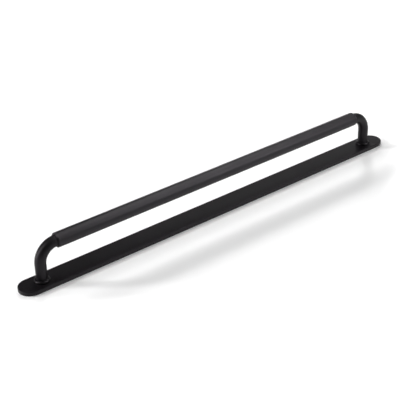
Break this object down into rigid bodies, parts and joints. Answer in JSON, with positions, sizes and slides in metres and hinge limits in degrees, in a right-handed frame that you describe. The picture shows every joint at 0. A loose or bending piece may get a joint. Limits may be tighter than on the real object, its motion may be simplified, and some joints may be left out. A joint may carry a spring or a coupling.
{
  "type": "bar handle with backplate",
  "caption": "Slim bar pull with bent rod legs, a thicker round grip, ring collars at the feet and a long round-ended backplate, fixed by screws from behind.",
  "frame": {"origin": "middle of the backplate's back face, the face that lies on the door", "axes": "+X along the plate and the grip, +Y across the plate, +Z out from the door towards the grip"},
  "size_m": [0.357, 0.0186, 0.0355],
  "materials": {
    "black_coating": "satin black coating"
  },
  "bodies": {
    "root": {"backplate": "black_coating", "grip": "black_coating", "left_leg": "black_coating", "right_leg": "black_coating", "left_foot_collar": "black_coating", "right_foot_collar": "black_coating"}
  },
  "joints": []
}
